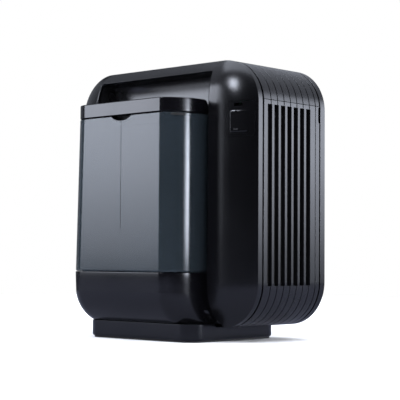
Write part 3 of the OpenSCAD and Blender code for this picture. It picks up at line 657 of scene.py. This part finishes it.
def build_band():
    """Top and bottom of the ribbed band, and the two side panels that carry on its ribs."""
    profile = comb_profile()
    above = seam_angle(SEAM_Z + SEAM_HALF)
    below = seam_angle(SEAM_Z - SEAM_HALF)
    top = corner_stations(1, 1, above, 90, 24) + corner_stations(-1, 1, 90, 180 - above, 24)
    band = sweep_band("top_band_skin", top, profile)
    dress(band, "housing", BAND, "band_black", "top_band")

    bottom = [(side * (LEG_X - SEAM_HALF), MID_Z - FLAT_Z, 0.0, -1.0) for side in (-1, 1)]
    belly = sweep_band("bottom_band_skin", bottom, profile)
    dress(belly, "housing", BAND, "band_black", "bottom_band")

    leg_angle = 270 + math.degrees(math.asin((LEG_X + SEAM_HALF - FLAT_X) / CORNER_R))
    for side, node in ((1, "side_panel_right"), (-1, "side_panel_left")):
        stations = corner_stations(1, 1, below, 0, 4) + corner_stations(1, -1, 360, leg_angle, 28)
        panel = sweep_band(node + "_skin", stations, profile)
        cut(panel, *side_cutters())
        panel.data.materials.append(BAND)
        panel.data.materials.append(SHADE_WALL)
        # Walls inside the slots and the finger notch take the dark wall material: painted shade inside
        # the openings.
        for face in panel.data.polygons:
            inner = face.center.x < (HALF_W - 0.5) * MM and face.center.z > (SLOT_LOW - 1) * MM
            face.material_index = int(inner and face.center.z < (SLOT_HIGH + 1) * MM
                                      and abs(face.normal.x) < 0.5)
        if side < 0:                         # both are drawn on the right; one is mirrored
            panel.data.transform(Matrix.Scale(-1, 4, (1, 0, 0)))
            panel.data.flip_normals()
        body = "right_panel" if side > 0 else "left_panel"
        dress(panel, body, None, "band_black", node)


build_band()

# Dark baffles close the gap between each wick filter and the body's edge, behind the first slots: sheets
# of painted shade, so the slots read black.
for name, side in (("baffle_right", 1), ("baffle_left", -1)):
    x0, x1 = sorted(side * x for x in BAFFLE_X)
    baffle = prism_x(name, BAFFLE_Y, (SLOT_LOW + SLOT_HIGH) / 2, BAFFLE_W, SLOT_HIGH - SLOT_LOW + 4, 0.5,
                     x0, x1)
    dress(baffle, "housing", SHADE_WALL, "inner_plastic")

# ---------------------------------------------------------------- front shell

def build_front_shell():
    """Rim, crease, dome and flat face on the +Y side, with the outlet and panel openings."""
    crease = MID_Y + HALF_D
    rim = FRONT_LO[1]
    outside = [(RIM_WALL, crease), (RIM_WALL, rim), (RIM_EDGE_R, rim),
               (RIM_EDGE_R * 0.3, rim + RIM_EDGE_R * 0.3), (0, rim + RIM_EDGE_R), (0, crease - 0.5)]
    for inset in [DOME_RUN * k / 24 for k in range(25)] + [47.0, 52.0]:
        outside.append((inset, crease + dome_height(inset)))
    insets = [RIM_WALL + (DOME_RUN - RIM_WALL) * k / 8 for k in range(8, 0, -1)]
    inside = [(inset, crease + dome_height(max(0.0, inset - WALL)) - WALL) for inset in insets]
    stations = body_loop()
    return loft("front_shell_skin", [[in_space(station, inset, y) for station in stations]
                                     for inset, y in inside + outside])


front = build_front_shell()
grille_x, grille_z = (GRILLE_LO[0] + GRILLE_HI[0]) / 2, (GRILLE_LO[2] + GRILLE_HI[2]) / 2
panel_x, panel_z = (PANEL_LO[0] + PANEL_HI[0]) / 2, (PANEL_LO[2] + PANEL_HI[2]) / 2
cut(front,
    prism_y("outlet_cutter", grille_x, grille_z, OUTLET_W, OUTLET_H, OUTLET_R,
            FRONT_HI[1] - 12, FRONT_HI[1] + PAST, steps=16),
    prism_y("panel_cutter", panel_x, panel_z, PANEL_W, PANEL_H, PANEL_R,
            FRONT_HI[1] - 12, FRONT_HI[1] + PAST, steps=12))
dress(front, "housing", SHELL, "shell_black", "front_shell", angle=28)

# ---------------------------------------------------------------- tank

def tank_ring(z, inset):
    """The tank's plan at a height; its left side leans out towards the bottom."""
    share = (TANK_HI[2] - z) / (TANK_HI[2] - TANK_LO[2])
    lean = TANK_DRAFT * (2 * share - 1)
    return [(x, y, z) for x, y in plan_ring(TANK_LO[0] - lean + inset, TANK_HI[0] - inset,
                                            TANK_FRONT + inset, TANK_HI[1] - inset,
                                            TANK_R - inset, 24, TANK_RY - inset)]


def edge_rows(ring, z_edge, radius, direction, steps=5):
    """Rows of a quarter-round edge; direction is -1 for a lower edge and +1 for an upper one."""
    rows = [ring(z_edge - direction * radius * (1 - math.cos(a)), radius * (1 - math.sin(a)))
            for a in quarter_turn(steps)]
    return rows if direction < 0 else rows[::-1]


def closed_body(name, ring, z0, z1, r0, r1):
    """A body of ring(height, inset) plans, with its lower and upper edges rounded by r0 and r1."""
    rows = edge_rows(ring, z0, r0, -1) + edge_rows(ring, z1, r1, 1)
    return loft(name, rows)


def notch_cutter(grow):
    """The finger notch in the tank's front, an arc under the lid."""
    radius = ((NOTCH_W / 2) ** 2 + NOTCH_H**2) / (2 * NOTCH_H) + grow
    centre_z = LID_SEAM + radius - grow - NOTCH_H
    rows = []
    for y in (TANK_FRONT - PAST, TANK_FRONT + NOTCH_DEPTH + grow):
        rows.append([(NOTCH_X + radius * math.cos(math.radians(a)), y,
                      centre_z + radius * math.sin(math.radians(a))) for a in range(0, 360, 3)])
    return loft("notch_cutter", rows)


def build_tank():
    """The open-topped tank, with its finger notch and its middle line."""
    z0 = DECK_Z + TANK_GAP
    z1 = LID_SEAM - SEAM_GAP
    tank = closed_body("water_tank_skin", tank_ring, z0, z1, TANK_LOW_R, TANK_TOP_R)
    cavity = closed_body("cavity", lambda z, inset: tank_ring(z, inset + TANK_WALL),
                         z0 + TANK_WALL, z1 + 6, TANK_LOW_R, TANK_TOP_R)
    cut(cavity, notch_cutter(TANK_WALL))
    cut(tank, cavity, notch_cutter(0))
    # the middle line: a fine groove above, a fine bead below
    cut(tank, loft("groove_cutter", [[(NOTCH_X + x, TANK_FRONT + y, z) for x, y in
                                      ((-LINE_HALF, -1), (LINE_HALF, -1),
                                       (LINE_HALF, LINE_DEPTH), (-LINE_HALF, LINE_DEPTH))]
                                     for z in (LINE_Z, LID_LO[2] + 5)]))
    bead_y = TANK_FRONT + BEAD_R + 0.01
    bead = loft("bead", [[(NOTCH_X + BEAD_R * math.sin(a), bead_y - BEAD_R * math.cos(a), z)
                          for a in [math.radians(20 * k) for k in range(18)]]
                         for z in (DECK_Z + 4, LINE_Z)])
    cut(tank, bead, operation="UNION")
    return tank


tank = build_tank()
tank.data.materials.append(SMOKE)
tank.data.materials.append(SHADE_WALL)
# Faces of the finger notch's pocket take the dark wall material: painted shade under the lid.
pocket_z = LID_SEAM - NOTCH_H - 1
for face in tank.data.polygons:
    x, y, z = (c / MM for c in face.center)
    pocket = (abs(x - NOTCH_X) < NOTCH_W / 2 + 1 and z > pocket_z
              and TANK_FRONT + 0.2 < y < TANK_FRONT + NOTCH_DEPTH + TANK_WALL + 1)
    face.material_index = int(pocket)
dress(tank, "tank", None, "tank_smoke", "water_tank", angle=30)


def lid_ring(z, inset):
    return [(x, y, z) for x, y in plan_ring(LID_LO[0] + TANK_DRAFT + inset, LID_HI[0] - inset,
                                            LID_LO[1] + inset, LID_HI[1] - inset,
                                            TANK_R - inset, 24, TANK_RY - inset)]


lid = closed_body("tank_lid_skin", lid_ring, LID_SEAM, LID_HI[2], r0=0.5, r1=1.4)
lid_hollow = closed_body("hollow", lambda z, inset: lid_ring(z, inset + LID_SIDE), LID_SEAM - LID_SIDE,
                         LID_HI[2] - LID_ROOF, r0=0.4, r1=1.0)


def lid_back_cutter(grow):
    """Everything above the lid's back edge, which curves down inside the bay."""
    top, r = LID_HI[2], LID_BACK_R
    start, behind = LID_HI[1] - LID_BACK_RUN, LID_HI[1] + PAST
    profile = [(start + r * math.sin(a), top - r + r * math.cos(a) - grow)
               for a in [math.radians(5 * k) for k in range(18)]]
    profile += [(behind, top - r - grow), (behind, top + PAST), (start - 6, top + PAST),
                (start - 6, top - grow + 0.001)]
    return loft("lid_back", [[(x, y, z) for y, z in profile]
                             for x in (LID_LO[0] - PAST, LID_HI[0] + PAST)])


cut(lid_hollow, lid_back_cutter(LID_ROOF))
cut(lid, lid_hollow, lid_back_cutter(0.0))
dress(lid, "lid", LID, "lid_black", "tank_lid", angle=30)

# ---------------------------------------------------------------- tank bay

def build_bay():
    """Back and scooped roof of the bay as one skin, and a wall on each side of it."""
    back = [(BAY_BACK, DECK_Z), (BAY_BACK, BAY_TOP - SCOOP_H)]
    for k in range(1, 17):                   # the roof then rises straight to the lip
        a = math.radians(90 * k / 24)
        back.append((BAY_BACK - SCOOP_D * (1 - math.cos(a)), BAY_TOP - SCOOP_H * (1 - math.sin(a))))
    lip = MID_Y - HALF_D - BAY_LIP
    roof = BAY_TOP + BAY_SKIN
    profile = back + [(lip, BAY_TOP), (lip, roof), (BAY_BACK + 3, roof), (BAY_BACK + 3, DECK_Z)]
    rows = [[(x, y, z) for y, z in profile] for x in (BAY_X0 - BAY_SKIN, BAY_X1 + BAY_SKIN)]
    shell = loft("bay_back_skin", rows)
    dress(shell, "housing", BAY, "bay_black", "tank_bay", angle=30)
    for name, x0, x1 in (("bay_wall_left", BAY_X0 - BAY_SKIN, BAY_X0 + 0.05),
                         ("bay_wall_right", BAY_X1 - 0.05, BAY_X1 + BAY_SKIN)):
        # each wall stops under the rear shell's own edge
        edge = [(face_y((x0 + x1) / 2, z) + 4, z) for z in np.linspace(DECK_Z, roof, 40)]
        wall = edge + [(BAY_BACK + 1, roof), (BAY_BACK + 1, DECK_Z)]
        piece = loft(name, [[(x, y, z) for y, z in wall] for x in (x0, x1)])
        dress(piece, "housing", BAY, "bay_black", angle=30)


build_bay()

# ---------------------------------------------------------------- reservoir housing and pedestal

def housing_section(z, steps=14):
    """Plan of the housing's front part at a height, from the shell's right edge forwards and round
    to the bay's left side."""
    drop = max(0.0, BULGE_TOP - z)
    lean = min(1.0, (DECK_Z - z) / (DECK_Z - BULGE_TOP))
    front = TANK_FRONT + BULGE_R - math.sqrt(BULGE_R**2 - drop**2) + BULGE_LEAN * lean**1.5
    low = PEDESTAL_HI[2]
    skirt = min(1.0, max(0.0, (SKIRT_TOP - z) / (SKIRT_TOP - low)))
    left_share = min(1.0, drop / (BULGE_TOP - low))
    x0 = TANK_LO[0] - TANK_DRAFT + (PEDESTAL_LO[0] - TANK_LO[0] + TANK_DRAFT) * left_share**2
    corner_x = TANK_HI[0]
    x1 = corner_x + (PEDESTAL_HI[0] - corner_x) * skirt**2
    edge_x = bay_edge_x(z)
    edge_y = face_y(edge_x, max(z, BOTTOM + 1)) + 1.0        # just behind the shell's face
    end_x, valley_y, left_x = edge_x + VALLEY_GAP, edge_y + VALLEY, BAY_X0 + 0.3
    fillet = min(VALLEY_R, max(0.5, edge_x - x1))
    drawn = min(TANK_RY, valley_y - fillet - 2 - front)      # the corner ends before the fillet
    turn = quarter_turn(steps)
    points = [(end_x, BAY_BACK), (end_x, valley_y + 3)]
    points += [(end_x - (end_x - x1) * math.sin(a), valley_y - fillet * (1 - math.cos(a)))
               for a in turn]
    points += [(corner_x - TANK_R + TANK_R * math.cos(a), front + drawn - drawn * math.sin(a))
               for a in turn]
    points += [(x0 + TANK_R - TANK_R * math.sin(a), front + TANK_R - TANK_R * math.cos(a))
               for a in turn]
    points += [(x0, edge_y + 3), (left_x, edge_y + 3), (left_x, BAY_BACK)]
    return [(x, y, z) for x, y in points]


def build_housing():
    """The housing from the pedestal up to the deck, with the deck's edge rounded."""
    low = PEDESTAL_HI[2]
    heights = [low + (BULGE_TOP - low) * (k / 26) for k in range(27)]
    heights += [BULGE_TOP + (DECK_Z - 0.8 - BULGE_TOP) * (k / 4) for k in range(1, 5)]
    rows = [housing_section(z) for z in heights]
    top = rows[-1]
    cx = sum(p[0] for p in top) / len(top)
    cy = sum(p[1] for p in top) / len(top)
    for inset, z in ((0.15, DECK_Z - 0.35), (0.6, DECK_Z)):
        rows.append([(x + inset * math.copysign(1, cx - x), y + inset * math.copysign(1, cy - y), z)
                     for x, y, _ in top])
    return loft("reservoir_housing_skin", rows)


housing = build_housing()
well_w = CAP_HI[0] - CAP_LO[0] + 2 * WELL_GAP
well = plan_ring(CAP_LO[0] - WELL_GAP, CAP_HI[0] + WELL_GAP, CAP_LO[1] - WELL_GAP - WELL_RUN,
                 CAP_HI[1] + WELL_GAP, well_w / 2 - 0.1, 16)
cut(housing, loft("well_cutter", [[(x, y, z) for x, y in well] for z in (WELL_FLOOR, DECK_Z + PAST)]))
dress(housing, "housing", HOUSING, "shell_black", "reservoir_housing", angle=30)


def plan_piece(name, lo, hi, radius, r0, r1):
    """A plate that fills a box, with rounded corners in plan and rounded edges."""
    def ring(z, inset):
        return [(x, y, z) for x, y in plan_ring(lo[0] + inset, hi[0] - inset, lo[1] + inset,
                                                hi[1] - inset, radius - inset)]

    return closed_body(name, ring, lo[2], hi[2], r0, r1)


pedestal = plan_piece("pedestal_skin", PEDESTAL_LO, PEDESTAL_HI, PED_R, PED_LOW_R, PED_TOP_R)
behind = prism_x("behind_cutter", MID_Y, PEDESTAL_HI[2], 2 * HALF_D, 2 * (PEDESTAL_HI[2] - BOTTOM), 0.5,
                 -HALF_W, HALF_W)
cut(pedestal, behind)
dress(pedestal, "housing", HOUSING, "shell_black", "pedestal", angle=30)
foot = plan_piece("foot_ring_skin", FOOT_LO, FOOT_HI, PED_R - FOOT_INSET, r0=0.5, r1=0.3)
dress(foot, "housing", RUBBER, "rubber_black", "foot_ring", angle=30)

# ---------------------------------------------------------------- the cap's valve spring

def build_spring():
    """A coil of wire that fills the valve spring's box."""
    low, high = box_mm("valve_spring")
    x, y = (low[0] + high[0]) / 2, (low[1] + high[1]) / 2
    coil_r = (high[0] - low[0]) / 2 - SPRING_WIRE_R
    z0, z1 = low[2] + SPRING_WIRE_R, high[2] - SPRING_WIRE_R
    count = SPRING_TURNS * 28
    rows = []
    for k in range(count + 1):
        a = math.tau * SPRING_TURNS * k / count
        z = z0 + (z1 - z0) * k / count
        rows.append([(x + (coil_r + SPRING_WIRE_R * math.cos(b)) * math.cos(a),
                      y + (coil_r + SPRING_WIRE_R * math.cos(b)) * math.sin(a),
                      z + SPRING_WIRE_R * math.sin(b))
                     for b in [math.tau * j / 10 for j in range(10)]])
    spring = loft("valve_spring_skin", rows)
    dress(spring, "cap", STEEL, "steel", "valve_spring", angle=60)
    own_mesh(spring)


build_spring()

# ---------------------------------------------------------------- carried-over CAD nodes

NODE_MATERIALS = {
    INNER: ("chassis_ring", "base_plate", "filter_frame_right", "filter_frame_left", "tank_cap",
            "fan_shroud", "motor_mount", "fan_rotor", "power_switch"),
    TRAY: ("water_tray",),
    WHITE: ("valve_cage", "valve_plunger"),
    FOAM: ("float",),
    WICK: ("wick_filter_right", "wick_filter_left"),
    RUBBER: ("lid_seal", "cap_seal", "valve_washer"),
    STEEL: ("motor_shaft", "knob_shaft", "case_screws", "motor_screws", "base_screws"),
    CAN: ("fan_motor", "speed_control"),
    BOARD: ("control_board", "humidity_sensor"),
    BAND: ("outlet_grille",),
    PANEL: ("control_panel", "power_inlet"),
    LID: ("speed_knob", "power_button"),
    LENS: ("indicator_lens",),
    BRASS: ("inlet_pins",),
}
for mat, names in NODE_MATERIALS.items():
    for name in names:
        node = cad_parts[name]
        node.data.materials.clear()
        node.data.materials.append(mat)
        node.data.shade_smooth()
        node.data.set_sharp_from_angle(angle=math.radians(30))

# ---------------------------------------------------------------- studio

def stage_floor(name, size, z, color):
    floor = new_object(name, [(-size, -size, z), (size, -size, z), (size, size, z), (-size, size, z)],
                       [(0, 1, 2, 3)])
    floor.data.materials.append(material(name, color, 0.9, variation=0.02, specular=0.0))
    return floor


# The seen floor is white; the dark plastic mirrors a greyer table just under it.
floor = stage_floor("floor", size=1500, z=0, color=(0.90, 0.90, 0.90))
floor.visible_glossy = False
floor.visible_shadow = False
table = stage_floor("table", size=900, z=-0.5, color=(0.19, 0.20, 0.26))
table.visible_camera = False
table.visible_diffuse = False

world = bpy.data.worlds.new("studio")
bpy.context.scene.world = world
world.use_nodes = True
background = world.node_tree.nodes["Background"]
background.inputs["Color"].default_value = (1, 1, 1, 1)
background.inputs["Strength"].default_value = 1.0
world.cycles_visibility.glossy = False
world.cycles_visibility.transmission = False

LAMP_TINT = (0.82, 0.87, 1.0)


def card_glow(name, low, high, stops, along, middle, half_width, soft):
    """Emission that changes with height and fades out towards the card's two sides."""
    mat = bpy.data.materials.new(name)
    mat.use_nodes = True
    nodes, links = mat.node_tree.nodes, mat.node_tree.links
    nodes.remove(nodes["Principled BSDF"])
    place = nodes.new("ShaderNodeTexCoord")

    split = nodes.new("ShaderNodeSeparateXYZ")
    links.new(place.outputs["Object"], split.inputs["Vector"])
    share = nodes.new("ShaderNodeMapRange")
    share.inputs["From Min"].default_value = low
    share.inputs["From Max"].default_value = high
    links.new(split.outputs["Z"], share.inputs["Value"])
    ramp = nodes.new("ShaderNodeValToRGB")
    peak = max(r for _, r in stops)
    while len(ramp.color_ramp.elements) < len(stops):
        ramp.color_ramp.elements.new(0.5)
    for element, (at, radiance) in zip(ramp.color_ramp.elements, stops):
        element.position = at
        element.color = [radiance / peak * c for c in LAMP_TINT] + [1]
    links.new(share.outputs["Result"], ramp.inputs["Fac"])

    across = nodes.new("ShaderNodeVectorMath")
    across.operation = "DOT_PRODUCT"
    across.inputs[1].default_value = along
    links.new(place.outputs["Object"], across.inputs[0])
    away = nodes.new("ShaderNodeMath")
    away.operation = "SUBTRACT"
    away.inputs[1].default_value = middle
    links.new(across.outputs["Value"], away.inputs[0])
    width = nodes.new("ShaderNodeMath")
    width.operation = "ABSOLUTE"
    links.new(away.outputs["Value"], width.inputs[0])
    fade = nodes.new("ShaderNodeMapRange")
    fade.interpolation_type = "SMOOTHSTEP"
    fade.inputs["From Min"].default_value = half_width
    fade.inputs["From Max"].default_value = half_width * (1 - soft)
    links.new(width.outputs["Value"], fade.inputs["Value"])
    power = nodes.new("ShaderNodeMath")
    power.operation = "MULTIPLY"
    power.inputs[1].default_value = peak
    links.new(fade.outputs["Result"], power.inputs[0])

    glow = nodes.new("ShaderNodeEmission")
    links.new(ramp.outputs["Color"], glow.inputs["Color"])
    links.new(power.outputs["Value"], glow.inputs["Strength"])
    links.new(glow.outputs["Emission"], nodes["Material Output"].inputs["Surface"])
    return mat


def card(name, origin, azimuth, distance, half_angle, z0, z1, stops, soft=0.3):
    """An upright glowing card facing a point. azimuth, in degrees, points from that point to the
    card, stops are (share of the height, radiance) pairs, and soft is the share of the half width
    over which the glow fades out on each side."""
    a = math.radians(azimuth)
    cx, cy = origin[0] + distance * math.cos(a), origin[1] + distance * math.sin(a)
    w = distance * math.tan(math.radians(half_angle))
    tx, ty = -math.sin(a), math.cos(a)
    obj = new_object(name, [(cx - tx * w, cy - ty * w, z0), (cx + tx * w, cy + ty * w, z0),
                            (cx + tx * w, cy + ty * w, z1), (cx - tx * w, cy - ty * w, z1)],
                     [(0, 1, 2, 3)])
    obj.data.materials.append(card_glow(name, z0 * MM, z1 * MM, stops, (tx, ty, 0.0),
                                        (cx * tx + cy * ty) * MM, w * MM, soft))
    obj.visible_camera = False


def softbox(name, at, target, width, height, radiance):
    """A rectangular area light of a given radiance."""
    data = bpy.data.lights.new(name, "AREA")
    data.shape = "RECTANGLE"
    data.size, data.size_y = width, height
    data.energy = radiance * 4 * width * height
    data.color = LAMP_TINT
    obj = bpy.data.objects.new(name, data)
    bpy.context.scene.collection.objects.link(obj)
    obj.location = at
    obj.rotation_euler = (Vector(target) - Vector(at)).to_track_quat("-Z", "Y").to_euler()


CENTRE = (0.0, 0.0, 0.165)
TANK_CORNER = (TANK_HI[0] - TANK_R, TANK_FRONT)
SHELL_CORNER = (0.1175, -0.057, 0.299)       # the upper corner that carries the bright spot
card("left_key", TANK_CORNER, azimuth=-138.0, distance=1700, half_angle=10.0, z0=0, z1=1000,
     stops=[(0.0, 0.5), (0.062, 0.55), (0.075, 1.7), (0.12, 3.0), (0.22, 4.5), (0.32, 6.4),
            (0.42, 7.6), (1.0, 8.5)], soft=0.35)
card("right_key", (HALF_W, 0), azimuth=48.0, distance=1700, half_angle=19, z0=40, z1=1000,
     stops=[(0.0, 0.3), (0.12, 2.2), (0.25, 4.8), (0.38, 6.8), (0.7, 5.0), (1.0, 2.0)], soft=0.15)
card("stripe", (TANK_HI[0], TANK_FRONT + 30), azimuth=25.0, distance=1900, half_angle=13.0,
     z0=60, z1=540,
     stops=[(0.0, 0.0), (0.05, 2.0), (0.15, 22.0), (0.4, 26.0), (0.8, 28.0), (1.0, 8.0)], soft=0.7)
card("left_fill", (-HALF_W, 0), azimuth=178.0, distance=2000, half_angle=30, z0=0, z1=1600,
     stops=[(0.0, 0.20), (0.3, 0.35), (1.0, 0.35)])
softbox("spot", (-0.39, -1.70, 1.32), SHELL_CORNER, width=0.48, height=0.48, radiance=18.5)
softbox("upper", (0.20, 2.10, 1.80), (0.12, 0.0, 0.30), width=4.0, height=1.7, radiance=0.5)
softbox("fill", (-1.67, -0.78, 1.85), CENTRE, width=1.6, height=1.1, radiance=0.45)
softbox("overhead", (0.0, 0.0, 2.6), CENTRE, width=3.4, height=3.4, radiance=2.8)

bpy.context.scene.view_settings.view_transform = "Standard"
bpy.context.scene.view_settings.look = "None"
